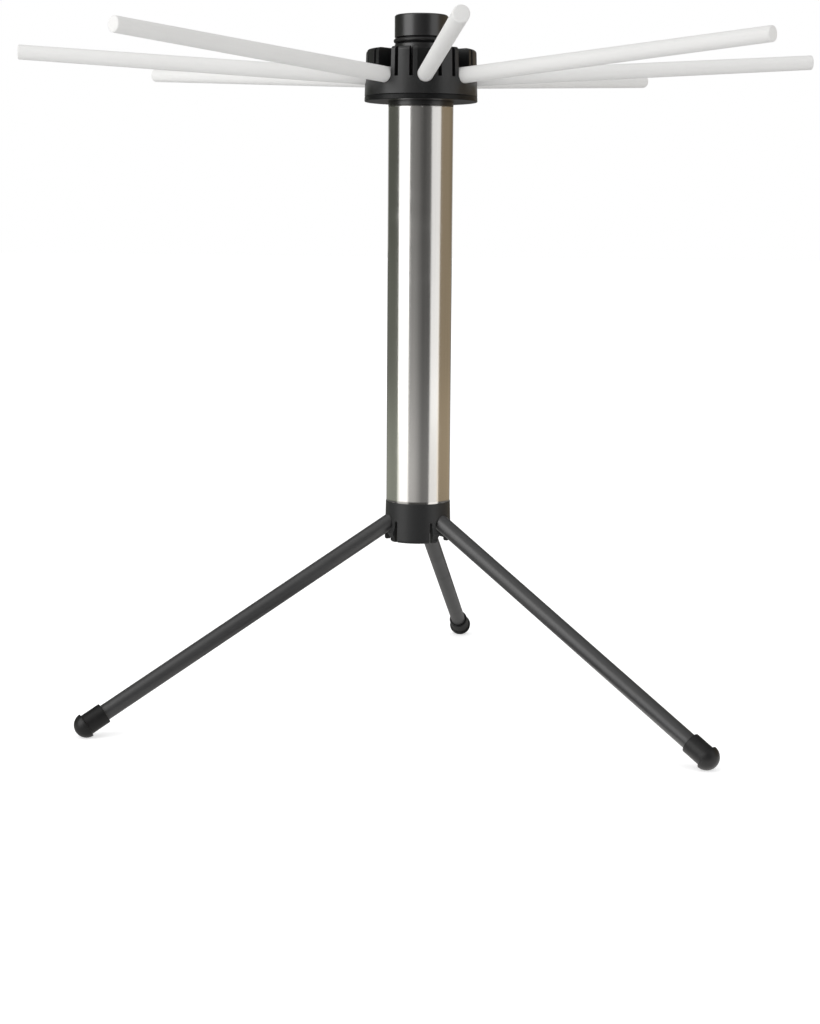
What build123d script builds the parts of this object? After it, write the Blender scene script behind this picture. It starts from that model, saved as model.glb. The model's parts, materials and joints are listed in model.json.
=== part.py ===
from build123d import *
import os
from math import asin, cos, degrees, radians, sin, sqrt, tan

os.makedirs("parts", exist_ok=True)

# A tripod pasta drying rack. Millimetres, +Z up, floor at z = 0, column axis on Z, rear leg on +Y.

# Clearances and the overrun shared by all cuts
running_clearance = 0.05
fit_clearance = 0.1
overrun = 1.0

# Column tube
tube_radius = 21.5
tube_wall = 0.8
tube_length = 262.4

# Legs, each from its pivot pin to the centre of its foot's dome
leg_count = 3
rear_leg_angle = 90.0
leg_spread_angle = 59.5
leg_length = 253.1
leg_pivot_inset = 7.6
leg_pivot_rise = 18.6
leg_rod_radius = 5.4
leg_rod_wall = 1.1
leg_head_length = 6.0
leg_stem_length = 16.0
leg_pin_radius = 1.6
leg_pin_chamfer = 0.3

# Feet
foot_sleeve_wall = 1.6
foot_dome_overhang = 1.3
foot_sleeve_length = 13.8
foot_flat_depth = 0.3
foot_sleeve_round = 0.6
foot_rim_round = 0.45

# Leg collar
collar_height = 26.6
collar_lip = 0.3
collar_draft = 0.7
collar_plug_wall = 1.95
collar_plug_height = 14.0
collar_edge_round = 1.6
collar_plug_chamfer = 0.6

# Keyhole slots that the legs swing out through, the slits beside them, and the pads on the tabs between
keyhole_margin = 1.5
keyhole_centre_rise = 11.6
keyhole_clearance = 0.15
keyhole_mouth_flare = 1.2
slit_angle = 27.6
slit_width = 2.2
slit_length = 14.5
pad_proud = 2.1
pad_peak_rise = 6.3
pad_top_rise = 10.3
pad_half_angle = 25.6

# Notched ears inside the collar that the leg pins rest in
ear_gap = 0.3
ear_thickness = 2.5
ear_depth_under_pin = 3.2
ear_height_over_pin = 4.6
ear_nose = 1.05

# Head post, a hollow moulding plugged into the tube
shoulder_height = 2.6
shoulder_width = 3.95
post_stand = 22.1
post_wall = 4.75
post_end_thickness = 3.0
post_edge_chamfer = 0.8
plug_depth = 18.0
plug_wall = 2.4
plug_chamfer = 0.8

# O-ring in the post's groove
o_ring_section_radius = 1.55
o_ring_proud = 0.65
o_ring_drop = 16.4
groove_width = 3.8
groove_chamfer = 0.5

# Hub
hub_height = 33.2
hub_draft = 1.0
hub_rim_width = 8.7
hub_tip_round = 2.3
hub_sleeve_wall = 3.4
hub_bore_chamfer = 0.6
hub_seam_chamfer = 0.35
hub_rest_turn = 13.3
plate_thickness = 3.3
pocket_floor_rise = 14.4
finger_groove_width = 2.6
finger_panel_depth = 3.7
pocket_floor_thickness = 2.4
pocket_root_width = 1.6
clevis_wall = 2.75
locating_rim_width = 2.0
locating_rim_height = 3.0

# Arms, each from its trunnions to its tip
arm_count = 8
arm_reach = 234.0
arm_tilt = 3.3
arm_heel_gap = 1.35
arm_pivot_rise = 15.2
arm_base_radius = 5.15
arm_tip_radius = 4.7
arm_heel = 2.2
arm_tip_round = 0.9
arm_slot_clearance = 0.2
trunnion_radius = 2.0
trunnion_chamfer = 0.3

# Radii, each one worked out from the piece that it fits
tube_bore_radius = tube_radius - tube_wall
plug_radius = tube_bore_radius - running_clearance
collar_top_radius = tube_radius + collar_lip
collar_bottom_radius = collar_top_radius + collar_draft
collar_bore_radius = plug_radius - collar_plug_wall
leg_pivot_radius = collar_bore_radius - leg_pivot_inset
foot_sleeve_radius = leg_rod_radius + foot_sleeve_wall
foot_dome_radius = foot_sleeve_radius + foot_dome_overhang
post_radius = tube_radius - shoulder_width
hub_bore_radius = post_radius + running_clearance
hub_sleeve_radius = hub_bore_radius + hub_sleeve_wall
arm_pivot_radius = hub_sleeve_radius + arm_heel_gap + arm_base_radius
hub_tip_radius = arm_pivot_radius + hub_rim_width
hub_base_radius = hub_tip_radius + hub_draft

# Heights above the floor
leg_drop = leg_length * cos(radians(leg_spread_angle))
leg_pivot_z = foot_dome_radius - foot_flat_depth + leg_drop
collar_bottom_z = leg_pivot_z - leg_pivot_rise
collar_top_z = collar_bottom_z + collar_height
tube_top_z = collar_top_z + tube_length
hub_bottom_z = tube_top_z + shoulder_height
plate_top_z = hub_bottom_z + plate_thickness
hub_top_z = hub_bottom_z + hub_height
post_top_z = hub_top_z + post_stand
arm_pivot_z = hub_bottom_z + arm_pivot_rise

# Directions
up = Vector(0, 0, 1)


def outward(angle):
    return Vector(1, 0, 0).rotate(Axis.Z, angle)


def sideways(angle):
    return Vector(0, 1, 0).rotate(Axis.Z, angle)


def upright_plane(angle, origin):
    # The vertical plane through the column's axis at this angle, x outward and y up
    return Plane(origin=origin, x_dir=outward(angle), z_dir=-sideways(angle))


def facing_plane(angle, origin):
    # The vertical plane that faces outward at this angle, x sideways and y up
    return Plane(origin=origin, x_dir=sideways(angle), z_dir=outward(angle))


leg_angles = [rear_leg_angle + number * 360 / leg_count for number in range(leg_count)]
arm_angles = [hub_rest_turn + number * 360 / arm_count for number in range(arm_count)]

# Column tube, between the collar's ledge and the post's shoulder
with BuildPart() as column_tube:
    with BuildSketch(Plane.XY.offset(collar_top_z)):
        Circle(tube_radius)
        Circle(tube_bore_radius, mode=Mode.SUBTRACT)
    extrude(amount=tube_length)
column_tube.part.label = "column_tube"
export_step(column_tube.part, "parts/column_tube.step")

# Leg collar
collar_plug_z = collar_top_z + collar_plug_height
neck_width = 2 * (leg_rod_radius + keyhole_clearance)
clear_radius = collar_bottom_radius + pad_proud + overrun
ear_offset = leg_rod_radius + ear_gap
pin_notch_radius = leg_pin_radius + running_clearance
keyhole_radius = leg_rod_radius + keyhole_margin
ear_inner_radius = leg_pivot_radius - pin_notch_radius - ear_nose
ear_bottom_rise = leg_pivot_rise - ear_depth_under_pin
ear_height = ear_depth_under_pin + ear_height_over_pin

with BuildPart() as leg_collar:
    with BuildSketch(Plane.XZ) as collar_section:
        with BuildLine():
            Polyline(
                (collar_bore_radius, collar_bottom_z),
                (collar_bottom_radius, collar_bottom_z),
                (collar_top_radius, collar_top_z),
                (plug_radius, collar_top_z),
                (plug_radius, collar_plug_z - collar_plug_chamfer),
                (plug_radius - collar_plug_chamfer, collar_plug_z),
                (collar_bore_radius, collar_plug_z),
                close=True,
            )
        make_face()
        fillet(collar_section.vertices().group_by(Axis.Y)[0].sort_by(Axis.X)[-1], collar_edge_round)
    revolve(axis=Axis.Z)
    # Pads on the tabs, a wedge turned round the axis and cut by the slot and the slits
    for angle in leg_angles:
        with BuildSketch(upright_plane(angle - pad_half_angle, (0, 0, collar_bottom_z))):
            with BuildLine():
                Polyline(
                    (collar_bottom_radius - collar_edge_round, collar_edge_round / 2),
                    (collar_bottom_radius + pad_proud, pad_peak_rise),
                    (collar_bottom_radius - collar_edge_round, pad_top_rise + collar_edge_round),
                    close=True,
                )
            make_face()
        revolve(axis=Axis.Z, revolution_arc=2 * pad_half_angle)
    # Keyholes and slits
    for angle in leg_angles:
        with BuildSketch(facing_plane(angle, (0, 0, collar_bottom_z))):
            with Locations((0, keyhole_centre_rise)):
                Circle(keyhole_radius)
            with Locations((0, (keyhole_centre_rise - overrun) / 2)):
                Rectangle(neck_width, keyhole_centre_rise + overrun)
            with BuildLine():
                Polyline(
                    (-neck_width / 2 - keyhole_mouth_flare, 0),
                    (-neck_width / 2, keyhole_mouth_flare),
                    (neck_width / 2, keyhole_mouth_flare),
                    (neck_width / 2 + keyhole_mouth_flare, 0),
                    close=True,
                )
            make_face()
        extrude(amount=clear_radius, mode=Mode.SUBTRACT)
        for side in (-1, 1):
            with BuildSketch(facing_plane(angle + side * slit_angle, (0, 0, collar_bottom_z))):
                with Locations((0, slit_length - slit_width / 2)):
                    Circle(slit_width / 2)
                with Locations((0, (slit_length - slit_width / 2 - overrun) / 2)):
                    Rectangle(slit_width, slit_length - slit_width / 2 + overrun)
            extrude(amount=clear_radius, mode=Mode.SUBTRACT)
    # Relief behind the keyhole's top, along the leg where it stands spread
    for angle in leg_angles:
        leg_pivot = outward(angle) * leg_pivot_radius + up * leg_pivot_z
        leg_direction = outward(angle) * sin(radians(leg_spread_angle)) - up * cos(radians(leg_spread_angle))
        with BuildSketch(Plane(origin=leg_pivot, x_dir=sideways(angle), z_dir=leg_direction)):
            Circle(leg_rod_radius + keyhole_clearance)
        extrude(amount=clear_radius, mode=Mode.SUBTRACT)
    # Ears, each with a notch that is open upwards
    for angle in leg_angles:
        for side in (-1, 1):
            face_origin = sideways(angle) * side * ear_offset + up * collar_bottom_z
            with BuildSketch(upright_plane(angle, face_origin)):
                with Locations((ear_inner_radius, ear_bottom_rise)):
                    Rectangle(
                        collar_bore_radius - ear_inner_radius,
                        ear_height,
                        align=(Align.MIN, Align.MIN),
                    )
                with Locations((leg_pivot_radius, leg_pivot_rise)):
                    Circle(pin_notch_radius, mode=Mode.SUBTRACT)
                    Rectangle(
                        2 * pin_notch_radius,
                        ear_height,
                        align=(Align.CENTER, Align.MIN),
                        mode=Mode.SUBTRACT,
                    )
            extrude(amount=-side * ear_thickness)
leg_collar.part.label = "leg_collar"
export_step(leg_collar.part, "parts/leg_collar.step")

# Legs: rod, head, pin and foot
leg_stem_radius = leg_rod_radius - leg_rod_wall
leg_pin_half_length = ear_offset + ear_thickness - fit_clearance

for number, angle in enumerate(leg_angles, start=1):
    leg_pivot = outward(angle) * leg_pivot_radius + up * leg_pivot_z
    leg_direction = outward(angle) * sin(radians(leg_spread_angle)) - up * cos(radians(leg_spread_angle))
    leg_axis = Axis(leg_pivot, leg_direction)
    pivot_plane = Plane(origin=leg_pivot, x_dir=sideways(angle), z_dir=leg_direction)
    pin_plane = Plane(origin=leg_pivot, x_dir=leg_direction, z_dir=sideways(angle))

    with BuildPart() as leg_rod:
        with BuildSketch(pivot_plane.offset(leg_head_length)):
            Circle(leg_rod_radius)
            Circle(leg_stem_radius, mode=Mode.SUBTRACT)
        extrude(amount=leg_length - leg_head_length)
    leg_rod.part.label = f"leg_{number}_rod"
    export_step(leg_rod.part, f"parts/leg_{number}_rod.step")

    with BuildPart() as leg_head:
        with BuildSketch(pin_plane):
            with BuildLine():
                Polyline(
                    (0, leg_rod_radius),
                    (leg_head_length, leg_rod_radius),
                    (leg_head_length, leg_stem_radius),
                    (leg_head_length + leg_stem_length, leg_stem_radius),
                    (leg_head_length + leg_stem_length, 0),
                    (-leg_rod_radius, 0),
                )
                CenterArc((0, 0), leg_rod_radius, 90, 90)
            make_face()
        revolve(axis=leg_axis)
        with BuildSketch(pin_plane):
            Circle(leg_pin_radius)
        extrude(amount=leg_rod_radius, both=True, mode=Mode.SUBTRACT)
    leg_head.part.label = f"leg_{number}_head"
    export_step(leg_head.part, f"parts/leg_{number}_head.step")

    with BuildPart() as leg_pin:
        with BuildSketch(pin_plane):
            Circle(leg_pin_radius)
        extrude(amount=leg_pin_half_length, both=True)
        chamfer(leg_pin.edges().filter_by(GeomType.CIRCLE), leg_pin_chamfer)
    leg_pin.part.label = f"leg_{number}_pin"
    export_step(leg_pin.part, f"parts/leg_{number}_pin.step")

    with BuildPart() as foot:
        with BuildSketch(pin_plane) as foot_section:
            with BuildLine():
                Polyline(
                    (leg_length + foot_dome_radius, 0),
                    (leg_length, 0),
                    (leg_length, leg_rod_radius),
                    (leg_length - foot_sleeve_length, leg_rod_radius),
                    (leg_length - foot_sleeve_length, foot_sleeve_radius),
                    (leg_length, foot_sleeve_radius),
                    (leg_length, foot_dome_radius),
                )
                CenterArc((leg_length, 0), foot_dome_radius, 0, 90)
            make_face()
            fillet(foot_section.vertices().group_by(Axis.X)[0].sort_by(Axis.Y)[-1], foot_sleeve_round)
            fillet(foot_section.vertices().sort_by(Axis.Y)[-1], foot_rim_round)
        revolve(axis=leg_axis)
        split(bisect_by=Plane.XY, keep=Keep.TOP)
    foot.part.label = f"foot_{number}"
    export_step(foot.part, f"parts/foot_{number}.step")

# Head post, hollow from below, with its shoulder on the tube's rim
post_core_radius = post_radius - post_wall
o_ring_outer_radius = post_radius + o_ring_proud
groove_z = post_top_z - o_ring_drop
groove_radius = o_ring_outer_radius - 2 * o_ring_section_radius
plug_bore_radius = plug_radius - plug_wall
plug_bottom_z = tube_top_z - plug_depth

with BuildPart() as head_post:
    with BuildSketch(Plane.XZ):
        with BuildLine():
            Polyline(
                (0, post_top_z),
                (post_radius - post_edge_chamfer, post_top_z),
                (post_radius, post_top_z - post_edge_chamfer),
                (post_radius, groove_z + groove_width / 2 + groove_chamfer),
                (post_radius - groove_chamfer, groove_z + groove_width / 2),
                (groove_radius, groove_z + groove_width / 2),
                (groove_radius, groove_z - groove_width / 2),
                (post_radius - groove_chamfer, groove_z - groove_width / 2),
                (post_radius, groove_z - groove_width / 2 - groove_chamfer),
                (post_radius, hub_bottom_z),
                (tube_radius, hub_bottom_z),
                (tube_radius, tube_top_z),
                (plug_radius, tube_top_z),
                (plug_radius, plug_bottom_z + plug_chamfer),
                (plug_radius - plug_chamfer, plug_bottom_z),
                (plug_bore_radius, plug_bottom_z),
                (plug_bore_radius, tube_top_z - plug_wall),
                (post_core_radius, tube_top_z + plug_wall),
                (post_core_radius, post_top_z - post_end_thickness),
                (0, post_top_z - post_end_thickness),
                close=True,
            )
        make_face()
    revolve(axis=Axis.Z)
head_post.part.label = "head_post"
export_step(head_post.part, "parts/head_post.step")

with BuildPart() as post_o_ring:
    with BuildSketch(Plane.XZ):
        with Locations((o_ring_outer_radius - o_ring_section_radius, groove_z)):
            Circle(o_ring_section_radius)
    revolve(axis=Axis.Z)
post_o_ring.part.label = "post_o_ring"
export_step(post_o_ring.part, "parts/post_o_ring.step")

# Hub crown: sleeve, outer wall, clevis slots for the arms and grooved fingers between them
hub_wall_radius = hub_tip_radius - finger_panel_depth
seam_radius = hub_base_radius - (hub_base_radius - hub_tip_radius) * plate_thickness / hub_height
pocket_floor_z = hub_bottom_z + pocket_floor_rise
cavity_top_z = pocket_floor_z - pocket_floor_thickness
slot_half_width = arm_base_radius + arm_slot_clearance
clevis_half_width = slot_half_width + clevis_wall
trunnion_seat_radius = trunnion_radius + running_clearance
half_pitch = radians(180 / arm_count)
finger_panel_width = 2 * (
    hub_tip_radius * sin(half_pitch) - clevis_half_width * cos(half_pitch)
    - finger_groove_width
)


def clevis_face(distance):
    # Half the width between two neighbouring clevises, this far out along the finger between them
    return distance * tan(half_pitch) - clevis_half_width / cos(half_pitch)


pocket_root = (pocket_root_width / 2 + clevis_half_width / cos(half_pitch)) / tan(half_pitch)
pocket_mouth = hub_base_radius + overrun

with BuildPart() as hub_crown:
    with BuildSketch(Plane.XZ) as crown_section:
        with BuildLine():
            Polyline(
                (hub_bore_radius, hub_bottom_z + hub_bore_chamfer),
                (hub_bore_radius + hub_bore_chamfer, hub_bottom_z),
                (hub_sleeve_radius, hub_bottom_z),
                (hub_sleeve_radius, cavity_top_z),
                (hub_wall_radius, cavity_top_z),
                (hub_wall_radius, plate_top_z),
                (seam_radius - hub_seam_chamfer, plate_top_z),
                (seam_radius, plate_top_z + hub_seam_chamfer),
                (hub_tip_radius, hub_top_z),
                (hub_bore_radius + hub_bore_chamfer, hub_top_z),
                (hub_bore_radius, hub_top_z - hub_bore_chamfer),
                close=True,
            )
        make_face()
        fillet(crown_section.vertices().group_by(Axis.Y)[-1].sort_by(Axis.X)[-1], hub_tip_round)
    revolve(axis=Axis.Z)
    # Pockets and grooves that leave a free panel at the middle of each finger
    for angle in arm_angles:
        finger = outward(angle + 180 / arm_count)
        with BuildSketch(Plane(origin=(0, 0, pocket_floor_z), x_dir=finger, z_dir=up)):
            with BuildLine():
                Polyline(
                    (pocket_root, -clevis_face(pocket_root)),
                    (pocket_mouth, -clevis_face(pocket_mouth)),
                    (pocket_mouth, clevis_face(pocket_mouth)),
                    (pocket_root, clevis_face(pocket_root)),
                    close=True,
                )
            make_face()
            with Locations((hub_wall_radius, 0)):
                Rectangle(
                    hub_base_radius,
                    finger_panel_width,
                    align=(Align.MIN, Align.CENTER),
                    mode=Mode.SUBTRACT,
                )
        extrude(amount=hub_height, mode=Mode.SUBTRACT)
    # Arm slots, with a round floor that follows the arm, and the trunnion channels in their walls
    for angle in arm_angles:
        slot_root_z = arm_pivot_z - (arm_pivot_radius - hub_sleeve_radius) * tan(radians(arm_tilt))
        slot_root = outward(angle) * hub_sleeve_radius + up * slot_root_z
        arm_direction = outward(angle) * cos(radians(arm_tilt)) + up * sin(radians(arm_tilt))
        with BuildSketch(facing_plane(angle, slot_root)):
            Circle(slot_half_width)
            Rectangle(2 * slot_half_width, hub_height, align=(Align.CENTER, Align.MIN))
        extrude(amount=hub_base_radius, dir=arm_direction, mode=Mode.SUBTRACT)
        arm_pivot = outward(angle) * arm_pivot_radius + up * arm_pivot_z
        with BuildSketch(upright_plane(angle, arm_pivot)):
            Circle(trunnion_seat_radius)
            Rectangle(2 * trunnion_seat_radius, hub_height, align=(Align.CENTER, Align.MAX))
        extrude(amount=clevis_half_width + overrun, both=True, mode=Mode.SUBTRACT)
hub_crown.part.label = "hub_crown"
export_step(hub_crown.part, "parts/hub_crown.step")

# Hub base plate, with a locating rim and a saddle under each arm's trunnions
rim_radius = hub_wall_radius - fit_clearance
saddle_top_z = arm_pivot_z - slot_half_width
peg_top_z = arm_pivot_z - trunnion_radius - running_clearance
peg_width = 2 * (trunnion_seat_radius - fit_clearance)
peg_inner = slot_half_width + fit_clearance
peg_outer = clevis_half_width - fit_clearance
saddle_half_width = slot_half_width - fit_clearance
saddle_half_length = sqrt(rim_radius**2 - saddle_half_width**2) - arm_pivot_radius

with BuildPart() as hub_base_plate:
    with BuildSketch(Plane.XZ):
        with BuildLine():
            Polyline(
                (hub_sleeve_radius + fit_clearance, hub_bottom_z),
                (hub_base_radius - hub_seam_chamfer, hub_bottom_z),
                (hub_base_radius, hub_bottom_z + hub_seam_chamfer),
                (seam_radius, plate_top_z - hub_seam_chamfer),
                (seam_radius - hub_seam_chamfer, plate_top_z),
                (rim_radius, plate_top_z),
                (rim_radius, plate_top_z + locating_rim_height),
                (rim_radius - locating_rim_width, plate_top_z + locating_rim_height),
                (rim_radius - locating_rim_width, plate_top_z),
                (hub_sleeve_radius + fit_clearance, plate_top_z),
                close=True,
            )
        make_face()
    revolve(axis=Axis.Z)
    for angle in arm_angles:
        seat_plane = Plane(origin=(0, 0, plate_top_z), x_dir=outward(angle), z_dir=up)
        with BuildSketch(seat_plane):
            with Locations((arm_pivot_radius, 0)):
                Rectangle(2 * saddle_half_length, 2 * saddle_half_width)
                Rectangle(peg_width, 2 * peg_outer)
        extrude(amount=saddle_top_z - plate_top_z)
        with BuildSketch(seat_plane):
            for side in (-1, 1):
                with Locations((arm_pivot_radius, side * (peg_inner + peg_outer) / 2)):
                    Rectangle(peg_width, peg_outer - peg_inner)
        extrude(amount=peg_top_z - plate_top_z)
hub_base_plate.part.label = "hub_base_plate"
export_step(hub_base_plate.part, "parts/hub_base_plate.step")

# Arms: tapered round rods, with a ball heel that turns clear of the saddle and a trunnion on each side
trunnion_half_length = clevis_half_width - fit_clearance
arm_heel_turn = degrees(asin(arm_heel / arm_base_radius))

for number, angle in enumerate(arm_angles, start=1):
    arm_pivot = outward(angle) * arm_pivot_radius + up * arm_pivot_z
    arm_direction = outward(angle) * cos(radians(arm_tilt)) + up * sin(radians(arm_tilt))
    arm_axis = Axis(arm_pivot, arm_direction)
    arm_plane = Plane(origin=arm_pivot, x_dir=arm_direction, z_dir=-sideways(angle))

    with BuildPart() as arm:
        with BuildSketch(arm_plane):
            with BuildLine():
                heel_arc = CenterArc((0, 0), arm_base_radius, 90, arm_heel_turn)
                Polyline(
                    heel_arc @ 1,
                    (-arm_heel, 0),
                    (arm_reach, 0),
                    (arm_reach, arm_tip_radius),
                    heel_arc @ 0,
                )
            make_face()
        revolve(axis=arm_axis)
        fillet(arm.edges().filter_by(GeomType.CIRCLE).sort_by(arm_axis)[-1], arm_tip_round)
        with BuildSketch(arm_plane):
            Circle(trunnion_radius)
        extrude(amount=trunnion_half_length, both=True)
        for end in (Axis(arm_pivot, sideways(angle)), Axis(arm_pivot, -sideways(angle))):
            chamfer(arm.edges().filter_by(GeomType.CIRCLE).sort_by(end)[-1], trunnion_chamfer)
    arm.part.label = f"arm_{number}"
    export_step(arm.part, f"parts/arm_{number}.step")

print(f"height {post_top_z:.1f}, hub bottom {hub_bottom_z:.1f}, collar bottom {collar_bottom_z:.1f}")
print(f"arm pivots at {arm_pivot_z:.2f}, leg pivots at {leg_pivot_z:.2f}")
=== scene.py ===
import json
from math import atan2, cos, pi, radians, sin, sqrt

import bpy
from mathutils import Matrix, Vector


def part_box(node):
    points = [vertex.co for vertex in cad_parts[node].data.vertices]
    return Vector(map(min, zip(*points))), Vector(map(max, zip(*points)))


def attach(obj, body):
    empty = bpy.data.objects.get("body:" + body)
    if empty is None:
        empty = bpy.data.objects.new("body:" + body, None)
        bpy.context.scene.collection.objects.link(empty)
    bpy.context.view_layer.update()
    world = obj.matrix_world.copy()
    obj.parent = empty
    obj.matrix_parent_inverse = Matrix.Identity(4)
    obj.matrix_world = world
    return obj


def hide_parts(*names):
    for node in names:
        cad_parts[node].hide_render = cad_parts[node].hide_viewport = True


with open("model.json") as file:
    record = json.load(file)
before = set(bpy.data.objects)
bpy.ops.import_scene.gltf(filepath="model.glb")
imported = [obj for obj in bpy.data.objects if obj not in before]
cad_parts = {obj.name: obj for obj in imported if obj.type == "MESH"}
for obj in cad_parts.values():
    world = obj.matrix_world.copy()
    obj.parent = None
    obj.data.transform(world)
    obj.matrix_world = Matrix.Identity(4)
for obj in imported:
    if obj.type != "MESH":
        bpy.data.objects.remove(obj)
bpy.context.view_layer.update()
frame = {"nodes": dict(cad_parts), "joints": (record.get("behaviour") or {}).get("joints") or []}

# A tripod pasta drying rack: steel column, hub of eight folding arms, three folding legs.
# Metres, +Z up, floor at z = 0, column axis on Z, rear leg on +Y.
MM = 0.001

# Column tube and its turned edges
TUBE_WALL = 0.8 * MM
TUBE_EDGE_ROUND = 0.18 * MM

# Arms, from their trunnions to their tips
ARM_COUNT = 8
ARM_REACH = 234.0 * MM
ARM_TILT = radians(3.3)
ARM_BASE_RADIUS = 5.15 * MM
ARM_TIP_RADIUS = 4.7 * MM
ARM_HEEL = 2.2 * MM
ARM_TIP_ROUND = 0.9 * MM
TRUNNION_RADIUS = 2.0 * MM
TRUNNION_HALF_LENGTH = 8.0 * MM
TRUNNION_CHAMFER = 0.3 * MM
PARTING_WIDTH = 0.14 * MM
PARTING_PROUD = 0.05 * MM

# Legs, from their pins to the centres of their feet
LEG_COUNT = 3
LEG_SPREAD = radians(59.5)
LEG_LENGTH = 253.1 * MM
LEG_HEAD_LENGTH = 6.0 * MM
LEG_ROD_RADIUS = 5.4 * MM
LEG_ROD_WALL = 1.1 * MM
LEG_EDGE_ROUND = 0.15 * MM

# Rubber feet
FOOT_DOME_RADIUS = 8.3 * MM
FOOT_SLEEVE_RADIUS = 7.0 * MM
FOOT_SLEEVE_LENGTH = 13.8 * MM
FOOT_SLEEVE_ROUND = 0.6 * MM
FOOT_RIM_ROUND = 0.45 * MM
FOOT_CORNER_ROUND = 0.4 * MM

# O-ring
RING_SECTION_RADIUS = 1.55 * MM
RING_FLASH_WIDTH = 0.16 * MM
RING_FLASH_PROUD = 0.04 * MM

# Points closer than this count as one place
SAME_PLACE = 0.01 * MM

# How far from its ends a long wall is cut round
END_CUT = 2.0 * MM

# The arm's ball heel steps down at these shares of its depth
HEEL_SHARES = (0.3, 0.58, 0.82, 1.0)

# An edge at least this far out, as a share of the arm's radius, lies on its side
BESIDE_SHARE = 0.9

# A face whose normal has at least this much of an axis in it faces along that axis
FACING = 0.9
FACING_FLAT = 0.99

# Steps round the turned pieces
TUBE_STEPS = 144
ARM_STEPS = 56
TRUNNION_STEPS = 32
ROD_STEPS = 56
FOOT_STEPS = 64
FOOT_RINGS = 32
RING_STEPS = 120
RING_SECTION_STEPS = 28

# Corners flatter than this are shaded smooth, in degrees
SMOOTH_BELOW = 32
RING_SMOOTH_BELOW = 40

JOINTS = {joint["name"]: joint for joint in frame["joints"]}


def joint_place(name):
    return Vector(JOINTS[name]["pos_m"])


def turn_of(place):
    # The angle of a place round the column, from +X
    return atan2(place.y, place.x)


# ---------------------------------------------------------------- modelling by hand

def clear_selection():
    bpy.ops.object.select_all(action="DESELECT")


def pick(piece):
    clear_selection()
    piece.select_set(True)
    bpy.context.view_layer.objects.active = piece


def name_piece(piece, name):
    piece.name = name
    piece.data.name = name
    return piece


def settle(piece):
    # The piece keeps its place in its mesh, and its object goes to the origin
    pick(piece)
    bpy.ops.object.transform_apply(location=True, rotation=True, scale=True)


def select_faces(piece, wanted):
    bpy.ops.object.mode_set(mode="OBJECT")
    pick(piece)
    for vertex in piece.data.vertices:
        vertex.select = False
    for edge in piece.data.edges:
        edge.select = False
    for face in piece.data.polygons:
        face.select = wanted(face)
    bpy.ops.object.mode_set(mode="EDIT")
    bpy.ops.mesh.select_mode(type="FACE")


def select_edges(piece, wanted):
    bpy.ops.object.mode_set(mode="OBJECT")
    pick(piece)
    points = piece.data.vertices
    for vertex in points:
        vertex.select = False
    for face in piece.data.polygons:
        face.select = False
    for edge in piece.data.edges:
        first, second = (points[corner].co for corner in edge.vertices)
        edge.select = wanted(first, second)
    bpy.ops.object.mode_set(mode="EDIT")
    bpy.ops.mesh.select_mode(type="EDGE")


def finish_shape(piece, angle=SMOOTH_BELOW):
    bpy.ops.object.mode_set(mode="OBJECT")
    pick(piece)
    bpy.ops.object.shade_smooth_by_angle(angle=radians(angle))


def apply_modifier(piece, kind, **settings):
    pick(piece)
    modifier = piece.modifiers.new(kind.lower(), kind)
    for key, value in settings.items():
        setattr(modifier, key, value)
    bpy.ops.object.modifier_apply(modifier=modifier.name)


def put_in_place(piece, place):
    piece.matrix_world = place
    settle(piece)


def turned_copy(pattern, name, turn):
    # A copy with its own mesh, turned about the column
    piece = pattern.copy()
    piece.data = pattern.data.copy()
    bpy.context.scene.collection.objects.link(piece)
    name_piece(piece, name)
    put_in_place(piece, Matrix.Rotation(turn, 4, "Z"))
    return piece


def drop_piece(piece):
    mesh = piece.data
    bpy.data.objects.remove(piece)
    bpy.data.meshes.remove(mesh)


def cut_round(piece, places, axis):
    # Cuts near the ends, which keep a long wall's shading straight
    for place in places:
        select_faces(piece, lambda face: True)
        bpy.ops.mesh.bisect(plane_co=Vector(axis) * place, plane_no=axis)


def across(point):
    # Distance from the X axis, along which arms, rods and feet are shaped
    return sqrt(point.y**2 + point.z**2)


def shape_tube():
    # An open tube with a real wall and broken edges, between the collar and the head post
    low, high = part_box("column_tube")
    clear_selection()
    bpy.ops.mesh.primitive_cylinder_add(
        vertices=TUBE_STEPS, radius=high.x, depth=high.z - low.z, end_fill_type="NOTHING",
        location=(0, 0, (low.z + high.z) / 2),
    )
    tube = name_piece(bpy.context.object, "tube_drawn")
    settle(tube)
    apply_modifier(tube, "SOLIDIFY", thickness=TUBE_WALL, offset=-1, use_even_offset=True)

    def on_rim(first, second):
        level = abs(first.z - second.z) < SAME_PLACE
        at_end = min(abs(first.z - low.z), abs(first.z - high.z)) < SAME_PLACE
        return level and at_end and abs(first.xy.length - second.xy.length) < SAME_PLACE

    select_edges(tube, on_rim)
    bpy.ops.mesh.bevel(offset=TUBE_EDGE_ROUND, segments=2, affect="EDGES")
    cut_round(tube, (low.z + END_CUT, high.z - END_CUT), (0, 0, 1))
    finish_shape(tube)
    return tube


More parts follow.
